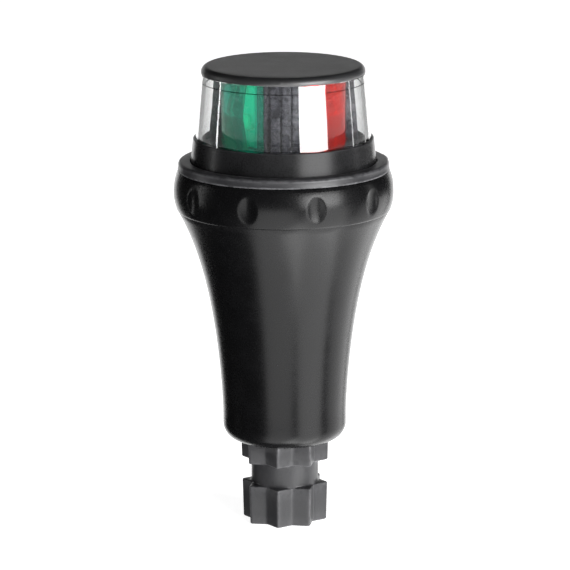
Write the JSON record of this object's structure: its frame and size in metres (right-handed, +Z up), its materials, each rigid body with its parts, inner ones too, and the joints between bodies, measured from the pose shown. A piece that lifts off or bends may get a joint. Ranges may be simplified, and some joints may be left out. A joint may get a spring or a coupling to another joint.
{
  "type": "navigation light",
  "caption": "Portable bow navigation light: clear lantern with green and red inner lenses screws onto a flared grip holding its cells, on a star-shaped plug-in spigot.",
  "frame": {"origin": "centre of the spigot's end face", "axes": "+Z up along the light's axis from spigot to cap, -Y towards the bow (between the two colours), green starboard lens towards -X, red port lens towards +X"},
  "size_m": [0.079, 0.0792, 0.168],
  "materials": {
    "spigot_plastic": "satin moulded",
    "grip_plastic": "satin moulded with soft sheen",
    "ring_plastic": "soft satin",
    "head_plastic": "satin moulded",
    "cap_plastic": "fine textured",
    "shield_plastic": "semi-gloss",
    "clear_acrylic": "polished clear",
    "green_acrylic": "polished tinted",
    "red_acrylic": "polished tinted",
    "seal_rubber": "matte",
    "foam_pad": "matte foam",
    "stainless": "satin",
    "spring_steel": "nickel plated",
    "contact_brass": "satin",
    "carrier_plastic": "satin",
    "cell_jacket": "printed sleeve on steel can",
    "board_laminate": "solder mask",
    "board_parts": "moulded chip bodies",
    "lamp_white": "white package with phosphor",
    "wire_sleeve": "soft sleeve"
  },
  "bodies": {
    "grip": {"star_spigot": "spigot_plastic", "spigot_screw": "stainless", "seal_washer": "seal_rubber", "steel_washer": "stainless", "spigot_nut": "stainless", "grip_body": "grip_plastic", "lift_spring": "spring_steel"},
    "pack": {"battery_carrier": "carrier_plastic", "cell_1": "cell_jacket", "cell_2": "cell_jacket", "cell_3": "cell_jacket", "cell_springs": "spring_steel", "cell_links": "spring_steel", "return_strip": "spring_steel", "centre_stud": "contact_brass", "contact_ring": "contact_brass"},
    "head": {"head_base": "head_plastic", "head_o_ring": "seal_rubber", "flange_ring": "ring_plastic", "lens_gasket": "seal_rubber", "clear_lens": "clear_acrylic", "cap_bond_pad": "foam_pad", "top_cap": "cap_plastic", "optic_base": "shield_plastic", "light_shield": "shield_plastic", "starboard_lens": "green_acrylic", "port_lens": "red_acrylic", "starboard_led_board": "board_laminate", "port_led_board": "board_laminate", "starboard_led": "lamp_white", "port_led": "lamp_white", "driver_board": "board_laminate", "driver_parts": "board_parts", "centre_contact": "contact_brass", "ring_fingers": "contact_brass", "board_screws": "stainless", "optic_screws": "stainless", "lead_wires": "wire_sleeve"}
  },
  "joints": [
    {"name": "pack_rise", "type": "slide", "parent": "grip", "child": "pack", "axis": [0, 0, 1], "range_m": [0, 0.005], "deforming": ["lift_spring"]},
    {"name": "head_twist", "type": "hinge", "parent": "pack", "child": "head", "pos_m": [0, 0, 0.1299], "axis": [0, 0, 1], "range_deg": [0, 450]}
  ],
  "couplings": [
    {"joint": "pack_rise", "follows": "head_twist", "m_per_rad": 0.0006366}
  ]
}
